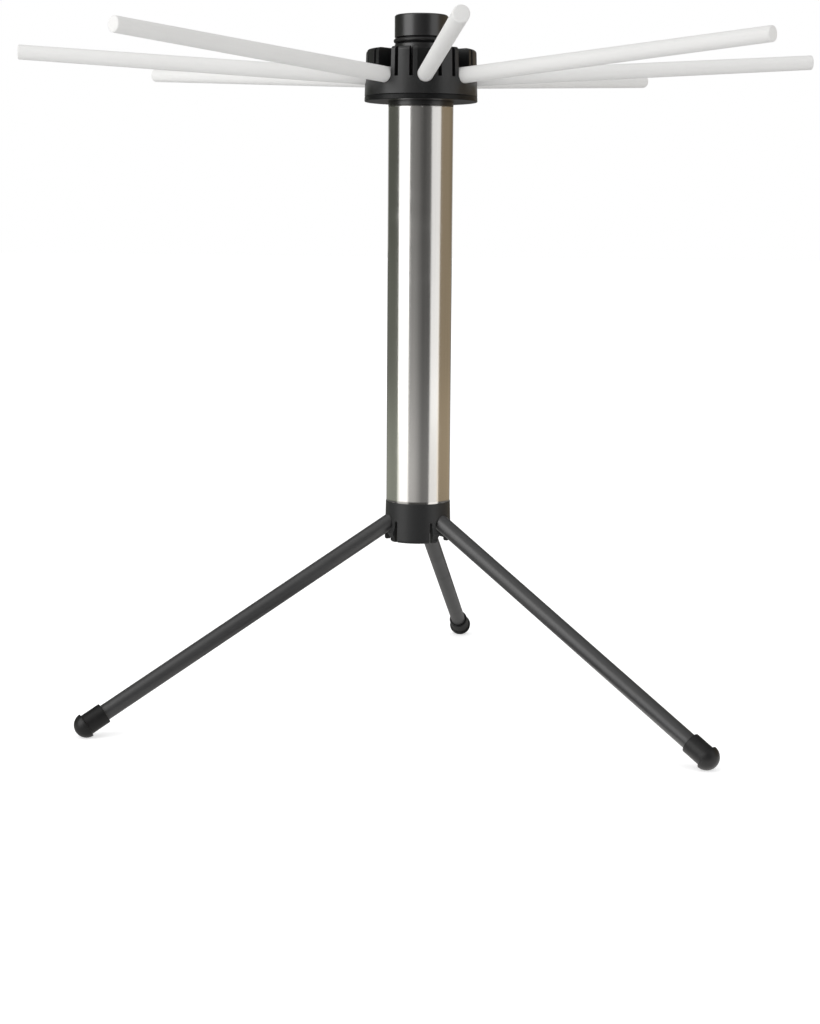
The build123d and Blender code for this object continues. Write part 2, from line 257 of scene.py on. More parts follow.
def shape_arm():
    # A tapered round arm on the X axis: ball heel, rounded tip, fine parting lines, two trunnions
    clear_selection()
    bpy.ops.mesh.primitive_cylinder_add(
        vertices=ARM_STEPS, radius=ARM_BASE_RADIUS, depth=ARM_REACH,
        location=(ARM_REACH / 2, 0, 0), rotation=(0, pi / 2, 0),
    )
    arm = name_piece(bpy.context.object, "arm_pattern")
    settle(arm)
    select_faces(arm, lambda face: face.normal.x > FACING)
    taper = ARM_TIP_RADIUS / ARM_BASE_RADIUS
    bpy.ops.transform.resize(value=(1, taper, taper), center_override=(ARM_REACH, 0, 0))
    select_faces(arm, lambda face: face.normal.x < -FACING)
    reached, radius = 0.0, ARM_BASE_RADIUS
    for share in HEEL_SHARES:
        step = -ARM_HEEL * share
        wanted = sqrt(ARM_BASE_RADIUS**2 - step**2)
        bpy.ops.mesh.extrude_region_move(TRANSFORM_OT_translate={"value": (step - reached, 0, 0)})
        bpy.ops.transform.resize(value=(1, wanted / radius, wanted / radius), center_override=(step, 0, 0))
        reached, radius = step, wanted
    cut_round(arm, (3 * END_CUT, ARM_REACH - END_CUT), (1, 0, 0))

    def on_parting(first, second):
        beside = min(abs(first.y), abs(second.y)) > BESIDE_SHARE * ARM_TIP_RADIUS
        level = max(abs(first.z), abs(second.z)) < SAME_PLACE
        return beside and level and abs(first.x - second.x) > ARM_REACH / 2

    select_edges(arm, on_parting)
    bpy.ops.mesh.bevel(offset=PARTING_WIDTH / 2, segments=1, affect="EDGES")
    bpy.ops.mesh.inset(thickness=PARTING_PROUD, depth=PARTING_PROUD)
    select_edges(arm, lambda first, second: min(first.x, second.x) > ARM_REACH - SAME_PLACE)
    bpy.ops.mesh.bevel(offset=ARM_TIP_ROUND, segments=5, affect="EDGES")
    bpy.ops.object.mode_set(mode="OBJECT")
    clear_selection()
    bpy.ops.mesh.primitive_cylinder_add(
        vertices=TRUNNION_STEPS, radius=TRUNNION_RADIUS, depth=2 * TRUNNION_HALF_LENGTH,
        rotation=(pi / 2, 0, 0),
    )
    trunnions = bpy.context.object
    settle(trunnions)
    select_faces(trunnions, lambda face: abs(face.normal.y) > FACING)
    bpy.ops.mesh.bevel(offset=TRUNNION_CHAMFER, segments=2, affect="EDGES")
    bpy.ops.object.mode_set(mode="OBJECT")
    apply_modifier(arm, "BOOLEAN", operation="UNION", solver="EXACT", object=trunnions)
    drop_piece(trunnions)
    finish_shape(arm)
    pivot = joint_place("arm_1_fold")
    tilted = Matrix.Translation((pivot.xy.length, 0, pivot.z)) @ Matrix.Rotation(-ARM_TILT, 4, "Y")
    put_in_place(arm, tilted)
    return arm


def leg_place():
    # The leg's own axis, spread at rest, for a leg on the +X side
    pivot = joint_place("leg_1_fold")
    return Matrix.Translation((pivot.xy.length, 0, pivot.z)) @ Matrix.Rotation(pi / 2 - LEG_SPREAD, 4, "Y")


def shape_rod():
    # A coated tube from the head's shoulder to the centre of the foot
    length = LEG_LENGTH - LEG_HEAD_LENGTH
    clear_selection()
    bpy.ops.mesh.primitive_cylinder_add(
        vertices=ROD_STEPS, radius=LEG_ROD_RADIUS, depth=length, end_fill_type="NOTHING",
        location=(LEG_HEAD_LENGTH + length / 2, 0, 0), rotation=(0, pi / 2, 0),
    )
    rod = name_piece(bpy.context.object, "rod_pattern")
    settle(rod)
    apply_modifier(rod, "SOLIDIFY", thickness=LEG_ROD_WALL, offset=-1, use_even_offset=True)

    def on_rim(first, second):
        return abs(first.x - second.x) < SAME_PLACE and abs(across(first) - across(second)) < SAME_PLACE

    select_edges(rod, on_rim)
    bpy.ops.mesh.bevel(offset=LEG_EDGE_ROUND, segments=2, affect="EDGES")
    cut_round(rod, (LEG_HEAD_LENGTH + END_CUT, LEG_LENGTH - END_CUT), (1, 0, 0))
    finish_shape(rod)
    put_in_place(rod, leg_place())
    return rod


def shape_foot():
    # A moulded rubber foot: dome, shoulder and sleeve, pressed flat where it stands
    clear_selection()
    bpy.ops.mesh.primitive_uv_sphere_add(
        segments=FOOT_STEPS, ring_count=FOOT_RINGS, radius=FOOT_DOME_RADIUS,
        location=(LEG_LENGTH, 0, 0), rotation=(0, pi / 2, 0),
    )
    foot = name_piece(bpy.context.object, "foot_pattern")
    settle(foot)
    select_faces(foot, lambda face: face.center.x < LEG_LENGTH)
    bpy.ops.mesh.delete(type="FACE")

    def on_equator(first, second):
        return max(first.x, second.x) < LEG_LENGTH + SAME_PLACE

    select_edges(foot, on_equator)
    bpy.ops.mesh.edge_face_add()
    bpy.ops.mesh.select_all(action="SELECT")
    bpy.ops.mesh.normals_make_consistent(inside=False)
    select_faces(foot, lambda face: face.normal.x < -FACING_FLAT)
    bpy.ops.mesh.inset(thickness=FOOT_DOME_RADIUS - FOOT_SLEEVE_RADIUS)
    bpy.ops.mesh.extrude_region_move(TRANSFORM_OT_translate={"value": (-FOOT_SLEEVE_LENGTH, 0, 0)})
    bpy.ops.mesh.inset(thickness=FOOT_SLEEVE_RADIUS - LEG_ROD_RADIUS)
    bpy.ops.mesh.extrude_region_move(TRANSFORM_OT_translate={"value": (FOOT_SLEEVE_LENGTH, 0, 0)})
    top = LEG_LENGTH - FOOT_SLEEVE_LENGTH

    def ring_at(place, radius):
        def wanted(first, second):
            level = max(abs(first.x - place), abs(second.x - place)) < SAME_PLACE
            return level and max(abs(across(first) - radius), abs(across(second) - radius)) < 5 * SAME_PLACE
        return wanted

    for place, radius, rounding, steps in (
        (LEG_LENGTH, FOOT_DOME_RADIUS, FOOT_RIM_ROUND, 3),
        (LEG_LENGTH, FOOT_SLEEVE_RADIUS, FOOT_CORNER_ROUND, 3),
        (top, FOOT_SLEEVE_RADIUS, FOOT_SLEEVE_ROUND, 4),
        (top, LEG_ROD_RADIUS, FOOT_CORNER_ROUND / 3, 2),
    ):
        select_edges(foot, ring_at(place, radius))
        bpy.ops.mesh.bevel(offset=rounding, segments=steps, affect="EDGES")
    bpy.ops.object.mode_set(mode="OBJECT")
    put_in_place(foot, leg_place())
    select_faces(foot, lambda face: True)
    bpy.ops.mesh.bisect(
        plane_co=(0, 0, 0), plane_no=(0, 0, 1), clear_inner=True, use_fill=True, threshold=SAME_PLACE / 10)
    finish_shape(foot)
    return foot


def shape_ring():
    # The O-ring, with the fine flash line of its mould round the outside
    low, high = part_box("post_o_ring")
    clear_selection()
    bpy.ops.mesh.primitive_torus_add(
        major_segments=RING_STEPS, minor_segments=RING_SECTION_STEPS,
        location=(0, 0, (low.z + high.z) / 2),
        major_radius=high.x - RING_SECTION_RADIUS, minor_radius=RING_SECTION_RADIUS,
    )
    ring = name_piece(bpy.context.object, "ring_moulded")
    settle(ring)

    def on_outside(first, second):
        return min(first.xy.length, second.xy.length) > high.x - SAME_PLACE

    select_edges(ring, on_outside)
    bpy.ops.mesh.bevel(offset=RING_FLASH_WIDTH / 2, segments=1, affect="EDGES")
    bpy.ops.mesh.inset(thickness=RING_FLASH_PROUD, depth=RING_FLASH_PROUD)
    finish_shape(ring, RING_SMOOTH_BELOW)
    return ring


# ---------------------------------------------------------------- node groups

FULL = (0.0, 1.0)

# Shares of the close grain and of the fine lines in the tone, the rest being the slow or broad ones
GRAIN_SHARE = 0.35
FINE_LINE_SHARE = 0.6

# Drawn lines, fine and broad: row in the tree, closeness across, closeness along, detail
DRAWN_SHEETS = ((200, 2600.0, 14.0, 3.0), (-200, 420.0, 3.0, 2.0))

# Bounds at which a smudge begins and is full, in the noise that makes it, and a rounded corner, as the
# cosine of the angle by which its normal turns
SMUDGE_BOUNDS = (0.52, 0.72)
CORNER_BOUNDS = (0.985, 0.88)


def new_group(name, inputs, outputs):
    group = bpy.data.node_groups.new(name, "ShaderNodeTree")
    for label, kind, value in inputs:
        socket = group.interface.new_socket(label, in_out="INPUT", socket_type=kind)
        socket.default_value = value
    for label, kind in outputs:
        group.interface.new_socket(label, in_out="OUTPUT", socket_type=kind)
    entry = group.nodes.new("NodeGroupInput")
    leave = group.nodes.new("NodeGroupOutput")
    entry.location = (-900, 0)
    leave.location = (900, 0)
    return group, entry, leave


def add_node(tree, kind, place, **settings):
    node = tree.nodes.new(kind)
    node.location = place
    for key, value in settings.items():
        setattr(node, key, value)
    return node


def number_step(tree, operation, place, first, second=None, clamp=False):
    node = add_node(tree, "ShaderNodeMath", place, operation=operation)
    node.use_clamp = clamp
    for slot, value in enumerate((first, second)):
        if value is None:
            continue
        if isinstance(value, (int, float)):
            node.inputs[slot].default_value = value
        else:
            tree.links.new(value, node.inputs[slot])
    return node.outputs[0]


def spread(tree, place, value, source, target, smooth=False):
    # Maps a value from one range to another, held at both ends
    node = add_node(tree, "ShaderNodeMapRange", place)
    node.interpolation_type = "SMOOTHSTEP" if smooth else "LINEAR"
    for label, number in zip(("From Min", "From Max", "To Min", "To Max"), (*source, *target)):
        node.inputs[label].default_value = number
    tree.links.new(value, node.inputs["Value"])
    return node.outputs["Result"]


def along(tree, place, aim, direction):
    # The cosine between two directions, or how far a place lies along one. The second is three numbers
    # or a socket
    node = add_node(tree, "ShaderNodeVectorMath", place, operation="DOT_PRODUCT")
    tree.links.new(aim, node.inputs[0])
    if isinstance(direction, Vector):
        node.inputs[1].default_value = direction
    else:
        tree.links.new(direction, node.inputs[1])
    return node.outputs["Value"]


def make_moulding_grain():
    # Fine satin of a textured mould: a close grain for bumps and a slow shift of tone and gloss
    group, entry, leave = new_group(
        "moulding grain",
        [("Position", "NodeSocketVector", (0, 0, 0)), ("Grain size", "NodeSocketFloat", 900.0),
         ("Flow size", "NodeSocketFloat", 22.0)],
        [("Height", "NodeSocketFloat"), ("Tone", "NodeSocketFloat")],
    )
    grain = add_node(group, "ShaderNodeTexNoise", (-500, 200))
    grain.inputs["Detail"].default_value = 4.0
    grain.inputs["Roughness"].default_value = 0.65
    group.links.new(entry.outputs["Position"], grain.inputs["Vector"])
    group.links.new(entry.outputs["Grain size"], grain.inputs["Scale"])
    flow = add_node(group, "ShaderNodeTexNoise", (-500, -200))
    flow.inputs["Detail"].default_value = 3.0
    flow.inputs["Distortion"].default_value = 0.4
    group.links.new(entry.outputs["Position"], flow.inputs["Vector"])
    group.links.new(entry.outputs["Flow size"], flow.inputs["Scale"])
    close = number_step(group, "MULTIPLY", (-200, -100), grain.outputs["Fac"], GRAIN_SHARE)
    slow = number_step(group, "MULTIPLY", (-200, -300), flow.outputs["Fac"], 1 - GRAIN_SHARE)
    tone = number_step(group, "ADD", (100, -200), close, slow, clamp=True)
    group.links.new(grain.outputs["Fac"], leave.inputs["Height"])
    group.links.new(tone, leave.inputs["Tone"])
    return group


def make_drawn_lines():
    # Lines that a belt leaves along a tube: noise drawn out along Z
    group, entry, leave = new_group(
        "drawn lines",
        [("Position", "NodeSocketVector", (0, 0, 0))],
        [("Height", "NodeSocketFloat"), ("Tone", "NodeSocketFloat")],
    )
    sheets = []
    for level, closeness, length, detail in DRAWN_SHEETS:
        stretch = add_node(group, "ShaderNodeMapping", (-650, level))
        stretch.inputs["Scale"].default_value = (closeness, closeness, length)
        group.links.new(entry.outputs["Position"], stretch.inputs["Vector"])
        lines = add_node(group, "ShaderNodeTexNoise", (-400, level))
        lines.inputs["Scale"].default_value = 1.0
        lines.inputs["Detail"].default_value = detail
        lines.inputs["Roughness"].default_value = 0.65
        group.links.new(stretch.outputs["Vector"], lines.inputs["Vector"])
        sheets.append(lines.outputs["Fac"])
    fine = number_step(group, "MULTIPLY", (-100, 0), sheets[0], FINE_LINE_SHARE)
    broad = number_step(group, "MULTIPLY", (-100, -200), sheets[1], 1 - FINE_LINE_SHARE)
    tone = number_step(group, "ADD", (150, -100), fine, broad, clamp=True)
    group.links.new(sheets[0], leave.inputs["Height"])
    group.links.new(tone, leave.inputs["Tone"])
    return group


def make_handling_marks():
    # Faint smudges of handling, which dull a surface in soft patches
    group, entry, leave = new_group(
        "handling marks",
        [("Position", "NodeSocketVector", (0, 0, 0)), ("Patch size", "NodeSocketFloat", 28.0)],
        [("Mask", "NodeSocketFloat")],
    )
    patch = add_node(group, "ShaderNodeTexNoise", (-400, 0))
    patch.inputs["Detail"].default_value = 5.0
    patch.inputs["Distortion"].default_value = 1.2
    group.links.new(entry.outputs["Position"], patch.inputs["Vector"])
    group.links.new(entry.outputs["Patch size"], patch.inputs["Scale"])
    mask = spread(group, (-100, 0), patch.outputs["Fac"], SMUDGE_BOUNDS, FULL, smooth=True)
    group.links.new(mask, leave.inputs["Mask"])
    return group


def make_softened_edges():
    # The small radius that a mould leaves on every corner, and a mask of where it is
    group, entry, leave = new_group(
        "softened edges",
        [("Radius", "NodeSocketFloat", 0.0003)],
        [("Normal", "NodeSocketVector"), ("Edge", "NodeSocketFloat")],
    )
    corner = add_node(group, "ShaderNodeBevel", (-500, 100), samples=6)
    group.links.new(entry.outputs["Radius"], corner.inputs["Radius"])
    plain = add_node(group, "ShaderNodeNewGeometry", (-500, -150))
    cosine = along(group, (-250, 0), corner.outputs["Normal"], plain.outputs["Normal"])
    edge = spread(group, (0, 0), cosine, CORNER_BOUNDS, FULL, smooth=True)
    group.links.new(corner.outputs["Normal"], leave.inputs["Normal"])
    group.links.new(edge, leave.inputs["Edge"])
    return group


MOULDING_GRAIN = make_moulding_grain()
DRAWN_LINES = make_drawn_lines()
HANDLING_MARKS = make_handling_marks()
SOFTENED_EDGES = make_softened_edges()


# ---------------------------------------------------------------- materials

def place_group(tree, group, place, position=None, **values):
    node = tree.nodes.new("ShaderNodeGroup")
    node.node_tree = group
    node.location = place
    if position is not None:
        tree.links.new(position, node.inputs["Position"])
    for label, value in values.items():
        node.inputs[label.replace("_", " ")].default_value = value
    return node


def blend_colours(tree, place, factor, first, second):
    # Each colour is three numbers or a socket
    node = add_node(tree, "ShaderNodeMix", place, data_type="RGBA")
    tree.links.new(factor, node.inputs["Factor"])
    for label, colour in (("A", first), ("B", second)):
        if isinstance(colour, tuple):
            node.inputs[label].default_value = (*colour, 1)
        else:
            tree.links.new(colour, node.inputs[label])
    return node.outputs["Result"]


def start_material(name):
    material = bpy.data.materials.new(name)
    material.use_nodes = True
    tree = material.node_tree
    shader = tree.nodes["Principled BSDF"]
    shader.location = (700, 0)
    where = add_node(tree, "ShaderNodeTexCoord", (-900, 0))
    return material, tree, shader, where.outputs["Object"]


def add_bump(tree, shader, height, strength, depth, under=None):
    bump = add_node(tree, "ShaderNodeBump", (350, -350))
    bump.inputs["Strength"].default_value = strength
    bump.inputs["Distance"].default_value = depth
    tree.links.new(height, bump.inputs["Height"])
    if under is not None:
        tree.links.new(under, bump.inputs["Normal"])
    tree.links.new(bump.outputs["Normal"], shader.inputs["Normal"])


# Tones between which roughness moves from its lowest to its highest
TONE_BOUNDS = (0.3, 0.7)

# Moulded plastic: closeness of its grain and of its slow flow, depth of the grain, softened corner
PLASTIC_GRAIN = 900.0
PLASTIC_FLOW = 22.0
PLASTIC_GRAIN_DEPTH = 0.012 * MM
PLASTIC_CORNER = 0.28 * MM
PLASTIC_GLOSS_SWING = 0.04
PART_GLOSS_SWING = 0.05

# How much a smudge dulls a surface
PLASTIC_DULLING = 0.05
PART_DULLING = 0.06
STEEL_DULLING = 0.05


def set_roughness(tree, shader, tone, mask, gloss_range, dulling):
    # Roughness moves with the tone, and smudges add to it
    even = spread(tree, (-300, -50), tone, TONE_BOUNDS, gloss_range)
    dulled = number_step(tree, "MULTIPLY", (-300, -250), mask, dulling)
    roughness = number_step(tree, "ADD", (0, -100), even, dulled, clamp=True)
    tree.links.new(roughness, shader.inputs["Roughness"])


def moulded_plastic(name, deep, light, edge_wear_and_sheen, gloss, mirror):
    # Satin moulded plastic: softened corners painted a little paler, partly light wear and partly a painted
    # edge highlight, close grain, faint handling marks
    material, tree, shader, position = start_material(name)
    skin = place_group(
        tree, MOULDING_GRAIN, (-600, 250), position, Grain_size=PLASTIC_GRAIN, Flow_size=PLASTIC_FLOW)
    marks = place_group(tree, HANDLING_MARKS, (-600, -100), position)
    corners = place_group(tree, SOFTENED_EDGES, (-600, -350), Radius=PLASTIC_CORNER)
    body = blend_colours(tree, (-100, 250), skin.outputs["Tone"], deep, light)
    # Paler corners: partly wear, partly a painted edge highlight where the corners catch the light
    edge_wear_and_sheen_mask = number_step(tree, "MULTIPLY", (-100, 50), corners.outputs["Edge"], skin.outputs["Tone"])
    tree.links.new(blend_colours(tree, (150, 200), edge_wear_and_sheen_mask, body, edge_wear_and_sheen), shader.inputs["Base Color"])
    gloss_range = (gloss - PLASTIC_GLOSS_SWING, gloss + PLASTIC_GLOSS_SWING)
    set_roughness(tree, shader, skin.outputs["Tone"], marks.outputs["Mask"], gloss_range, PLASTIC_DULLING)
    add_bump(tree, shader, skin.outputs["Height"], 0.5, PLASTIC_GRAIN_DEPTH, corners.outputs["Normal"])
    shader.inputs["Specular IOR Level"].default_value = mirror
    return material


def moulded_part(name, deep, light, gloss, mirror, grain, flow, depth):
    # A piece whose edges are modelled: grain and handling marks only
    material, tree, shader, position = start_material(name)
    skin = place_group(tree, MOULDING_GRAIN, (-600, 250), position, Grain_size=grain, Flow_size=flow)
    marks = place_group(tree, HANDLING_MARKS, (-600, -100), position, Patch_size=35.0)
    body = blend_colours(tree, (0, 200), skin.outputs["Tone"], deep, light)
    tree.links.new(body, shader.inputs["Base Color"])
    gloss_range = (gloss - PART_GLOSS_SWING, gloss + PART_GLOSS_SWING)
    set_roughness(tree, shader, skin.outputs["Tone"], marks.outputs["Mask"], gloss_range, PART_DULLING)
    add_bump(tree, shader, skin.outputs["Height"], 0.5, depth * MM)
    shader.inputs["Specular IOR Level"].default_value = mirror
    return material


def brushed_tube_steel():
    # Stainless steel, brushed along the tube, with the odd smudge
    material, tree, shader, position = start_material("brushed tube steel")
    lines = place_group(tree, DRAWN_LINES, (-600, 200), position)
    marks = place_group(tree, HANDLING_MARKS, (-600, -150), position, Patch_size=18.0)
    body = blend_colours(tree, (0, 200), lines.outputs["Tone"], (0.56, 0.55, 0.535), (0.70, 0.69, 0.675))
    tree.links.new(body, shader.inputs["Base Color"])
    set_roughness(tree, shader, lines.outputs["Tone"], marks.outputs["Mask"], (0.12, 0.19), STEEL_DULLING)
    add_bump(tree, shader, lines.outputs["Height"], 0.2, 0.003 * MM)
    shader.inputs["Metallic"].default_value = 1.0
    return material


def pin_steel():
    # Drawn steel wire, a little uneven
    material, tree, shader, position = start_material("pin steel")
    skin = place_group(tree, MOULDING_GRAIN, (-600, 200), position, Grain_size=1800.0, Flow_size=300.0)
    body = blend_colours(tree, (0, 200), skin.outputs["Tone"], (0.46, 0.46, 0.47), (0.62, 0.62, 0.63))
    tree.links.new(body, shader.inputs["Base Color"])
    roughness = spread(tree, (0, -50), skin.outputs["Tone"], TONE_BOUNDS, (0.28, 0.4))
    tree.links.new(roughness, shader.inputs["Roughness"])
    shader.inputs["Metallic"].default_value = 1.0
    return material


TUBE_STEEL = brushed_tube_steel()
PIN_STEEL = pin_steel()
HUB_PLASTIC = moulded_plastic(
    "hub plastic", deep=(0.007, 0.0073, 0.0077), light=(0.0135, 0.014, 0.0145),
    edge_wear_and_sheen=(0.06, 0.06, 0.06), gloss=0.34, mirror=0.55)
PLATE_PLASTIC = moulded_plastic(
    "plate plastic", deep=(0.0025, 0.0027, 0.0029), light=(0.0055, 0.0059, 0.0063),
    edge_wear_and_sheen=(0.03, 0.03, 0.03), gloss=0.36, mirror=0.24)
COLLAR_PLASTIC = moulded_plastic(
    "collar plastic", deep=(0.016, 0.0165, 0.017), light=(0.028, 0.0285, 0.029),
    edge_wear_and_sheen=(0.07, 0.07, 0.07), gloss=0.42, mirror=0.36)
POST_PLASTIC = moulded_plastic(
    "post plastic", deep=(0.006, 0.006, 0.0065), light=(0.012, 0.012, 0.013),
    edge_wear_and_sheen=(0.06, 0.06, 0.06), gloss=0.3, mirror=0.85)
HEAD_PLASTIC = moulded_plastic(
    "leg head plastic", deep=(0.015, 0.015, 0.015), light=(0.026, 0.026, 0.026),
    edge_wear_and_sheen=(0.06, 0.06, 0.06), gloss=0.45, mirror=0.5)
ARM_PLASTIC = moulded_part(
    "arm plastic", deep=(0.80, 0.795, 0.78), light=(0.87, 0.866, 0.855),
    gloss=0.5, mirror=0.5, grain=700.0, flow=16.0, depth=0.006)
LEG_COATING = moulded_part(
    "leg coating", deep=(0.032, 0.032, 0.0325), light=(0.052, 0.052, 0.053),
    gloss=0.38, mirror=0.65, grain=1500.0, flow=40.0, depth=0.016)
FOOT_RUBBER = moulded_part(
    "foot rubber", deep=(0.0035, 0.0035, 0.0038), light=(0.009, 0.009, 0.0095),
    gloss=0.46, mirror=0.4, grain=1400.0, flow=90.0, depth=0.02)
RING_RUBBER = moulded_part(
    "ring rubber", deep=(0.006, 0.006, 0.006), light=(0.013, 0.013, 0.013),
    gloss=0.34, mirror=0.5, grain=1600.0, flow=120.0, depth=0.006)


def finish_with(piece, material):
    piece.data.materials.clear()
    piece.data.materials.append(material)


# Pieces that keep the shape that they have in the CAD
CAD_FINISHES = {"leg_collar": COLLAR_PLASTIC, "head_post": POST_PLASTIC, "hub_crown": HUB_PLASTIC,
                "hub_base_plate": PLATE_PLASTIC}
for number in range(1, LEG_COUNT + 1):
    CAD_FINISHES[f"leg_{number}_head"] = HEAD_PLASTIC
    CAD_FINISHES[f"leg_{number}_pin"] = PIN_STEEL
for node_name, material in CAD_FINISHES.items():
    finish_with(frame["nodes"][node_name], material)


def fit_piece(piece, body, node_name, material):
    finish_with(piece, material)
    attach(piece, body)
    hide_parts(node_name)


fit_piece(shape_tube(), "column", "column_tube", TUBE_STEEL)
fit_piece(shape_ring(), "head", "post_o_ring", RING_RUBBER)

arm_pattern = shape_arm()
for number in range(1, ARM_COUNT + 1):
    turn = turn_of(joint_place(f"arm_{number}_fold"))
    arm = turned_copy(arm_pattern, f"arm_moulded_{number}", turn)
    fit_piece(arm, f"arm_{number}", f"arm_{number}", ARM_PLASTIC)
drop_piece(arm_pattern)

rod_pattern = shape_rod()
foot_pattern = shape_foot()
for number in range(1, LEG_COUNT + 1):
    turn = turn_of(joint_place(f"leg_{number}_fold"))
    rod = turned_copy(rod_pattern, f"leg_tube_{number}", turn)
    fit_piece(rod, f"leg_{number}", f"leg_{number}_rod", LEG_COATING)
    foot = turned_copy(foot_pattern, f"foot_moulded_{number}", turn)
    fit_piece(foot, f"leg_{number}", f"foot_{number}", FOOT_RUBBER)
drop_piece(rod_pattern)
drop_piece(foot_pattern)


# ---------------------------------------------------------------- studio

# Camera: the photograph's place and angle, and its focal length as a share of the picture's long side
CAMERA_DISTANCE = 1.2338
CAMERA_HEIGHT = 0.3328
VIEW_TURN = radians(8.8)
CAMERA_YAW = radians(-0.247)
CAMERA_PITCH = radians(-9.054)
CAMERA_ROLL = radians(0.40)
CAMERA_FOCAL_SHARE = 1832.75 / 1024
CAMERA_SENSOR = 36.0
CAMERA_NEAREST = 0.05
CAMERA_FURTHEST = 60

# Lamps: two tall boxes at the camera's sides and one overhead, all facing the middle of the rack
LAMP_TARGET = Vector((0, 0, 0.27))
BOX_REACH = 1.5
BOX_CENTRE = 0.75
BOX_HEIGHT = 1.7
LEFT_BOX_TURN = -59
RIGHT_BOX_TURN = 58


def from_view(side, depth, height):
    # A place given to the camera's right, away from the camera and up, in the rack's own frame
    return Vector((
        side * cos(VIEW_TURN) - depth * sin(VIEW_TURN),
        side * sin(VIEW_TURN) + depth * cos(VIEW_TURN),
        height,
    ))


def at_angle(turn, reach, height):
    # A place round the rack, turned from the camera's direction, right positive
    return from_view(reach * sin(radians(turn)), -reach * cos(radians(turn)), height)


def bearing(turn):
    return at_angle(turn, 1.0, 0.0)


# The studio's colour as shiny surfaces see it: a shaded white all round, brighter in front to the left, a
# warm wall to the right behind the rack and an olive one to the left behind it. For each of these, its
# direction, the cosines to that direction at which it begins and is full, and its tint.
ROOM_WHITE = (1.0, 0.985, 0.96)
ROOM_SHADE = (0.68, 0.67, 0.653)
RIGHT_WALL = bearing(115)
LEFT_WALL = bearing(-115)
WALL_BOUNDS = (0.68, 0.86)
ROOM_TINTS = (
    (bearing(-45), (0.5, 1.0), (1.93, 1.90, 1.85)),
    (RIGHT_WALL, WALL_BOUNDS, (1.0, 0.80, 0.54)),
    (LEFT_WALL, WALL_BOUNDS, (0.88, 0.92, 0.77)),
)

# The levels of the air as they see it, in the same way: the backdrop, the right side, overhead
AIR_LEVELS = (
    (from_view(0, 1, 0), (0.86, 0.97), (0.0, 0.8)),
    (from_view(1, 0, 0), (0.2, 0.95), (0.0, 0.22)),
    (from_view(-0.4, -0.45, 0.8).normalized(), (0.70, 0.93), (0.14, 0.9)),
)
AIR_FOR_CAMERA = 1.0
AIR_FOR_MATT = 0.57

FLOOR_SIZE = 30
FLOOR_COLOUR = 0.86
FLOOR_LEAST = 0.08

# What changes over the floor with the distance from the column, in metres, from one value to the other
FLOOR_GLOW = ((0.5, 3.0), (0.52, 0.74))
# The rest shape the glow that shiny surfaces see: a painted colour, a painted shadow near the rack and
# painted light
FLOOR_TINTED = ((0.5, 0.8), FULL)
FLOOR_RISE = ((0.4, 1.0), (0.0, 0.32))
FLOOR_FADE = ((1.0, 3.2), (1.0, 0.35))
FLOOR_NEAR = ((0.3, 0.5), (0.36, 0.0))
FLOOR_OUTER = ((0.8, 2.4), (0.03, 0.17))
FLOOR_LAMP_FOOT = ((1.5, 3.0), (1.0, 0.3))

# The same with the distance behind the column's axis, and with the cosine to the right wall
FLOOR_BEHIND = ((0.0, 0.08), FULL)
FLOOR_SIDE = ((0.60, 0.80), FULL)

# The floor in front of the tall lamps, where pools of lamp light are painted for shiny surfaces: turn, half
# the width in degrees, level, and degrees of soft edge
FLOOR_WEDGES = ((LEFT_BOX_TURN, 22.4, 0.56), (RIGHT_BOX_TURN, 19.2, 1.3))
WEDGE_SOFTNESS = 1


def room_colour(tree, aim):
    colour = ROOM_SHADE
    for row, (direction, bounds, tint) in enumerate(ROOM_TINTS):
        level = -1100 - 200 * row
        cosine = along(tree, (-500, level), aim, direction)
        share = spread(tree, (-300, level), cosine, bounds, FULL, smooth=True)
        colour = blend_colours(tree, (-100, level), share, colour, tint)
    return colour


def painted_floor_light_level(tree, place, reach, aim):
    # How bright shiny surfaces see the floor, as painted light and shade: a painted shadow dim by the rack
    # and paler further out, painted light close behind the column and to the right, and painted pools of
    # lamp light in front of the two tall lamps
    def by_reach(row, source, target):
        return spread(tree, (-600, row), reach, source, target, smooth=True)

    depth = along(tree, (-900, -1100), place, from_view(0, 1, 0))
    side = along(tree, (-900, -1900), aim, RIGHT_WALL)
    parts = [
        (by_reach(-100, *FLOOR_RISE), by_reach(0, *FLOOR_FADE)),
        (by_reach(-900, *FLOOR_NEAR), spread(tree, (-600, -1100), depth, *FLOOR_BEHIND, smooth=True)),
        (by_reach(-2100, *FLOOR_OUTER), spread(tree, (-600, -1900), side, *FLOOR_SIDE, smooth=True)),
    ]
    lamp_foot = by_reach(-1300, *FLOOR_LAMP_FOOT)
    for row, (turn, half_width, shine) in enumerate(FLOOR_WEDGES):
        level = -350 - 200 * row
        cosine = along(tree, (-700, level), aim, bearing(turn))
        edges = tuple(cos(radians(half_width + more)) for more in (WEDGE_SOFTNESS, -WEDGE_SOFTNESS))
        lit = spread(tree, (-450, level), cosine, edges, (0.0, shine), smooth=True)
        parts.append((lit, lamp_foot))
    total = FLOOR_LEAST
    for row, (first, second) in enumerate(parts):
        part = number_step(tree, "MULTIPLY", (-300, -200 * row), first, second)
        total = number_step(tree, "ADD", (-100, -200 * row), part, total)
    return total


def shiny_rays(tree, place, path):
    return number_step(
        tree, "MAXIMUM", place, path.outputs["Is Glossy Ray"], path.outputs["Is Transmission Ray"])


def mix_shaders(tree, place, share, first, second):
    node = add_node(tree, "ShaderNodeMixShader", place)
    for slot, socket in enumerate((share, first.outputs[0], second.outputs[0])):
        tree.links.new(socket, node.inputs[slot])
    return node


